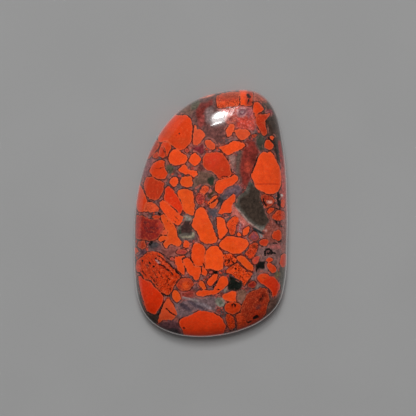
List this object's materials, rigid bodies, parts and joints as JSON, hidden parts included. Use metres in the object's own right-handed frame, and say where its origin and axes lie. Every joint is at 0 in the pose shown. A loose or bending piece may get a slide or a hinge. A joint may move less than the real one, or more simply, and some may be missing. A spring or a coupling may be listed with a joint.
{
  "type": "brecciated mookaite cabochon",
  "caption": "Freeform polished stone cabochon with a low smooth dome over a flat back, in orange and brick-red rock chips set in grey-purple chalcedony.",
  "frame": {"origin": "on the flat back, at the middle of the stone's width and length", "axes": "+Z out of the dome, away from the back; +Y along the stone's length, towards its narrower, skewed end; +X across its width"},
  "size_m": [0.0262, 0.042, 0.0065],
  "materials": {
    "polished_stone": "high polish on the dome and sides, satin lapped back"
  },
  "bodies": {
    "root": {"cabochon": "polished_stone"}
  },
  "joints": []
}
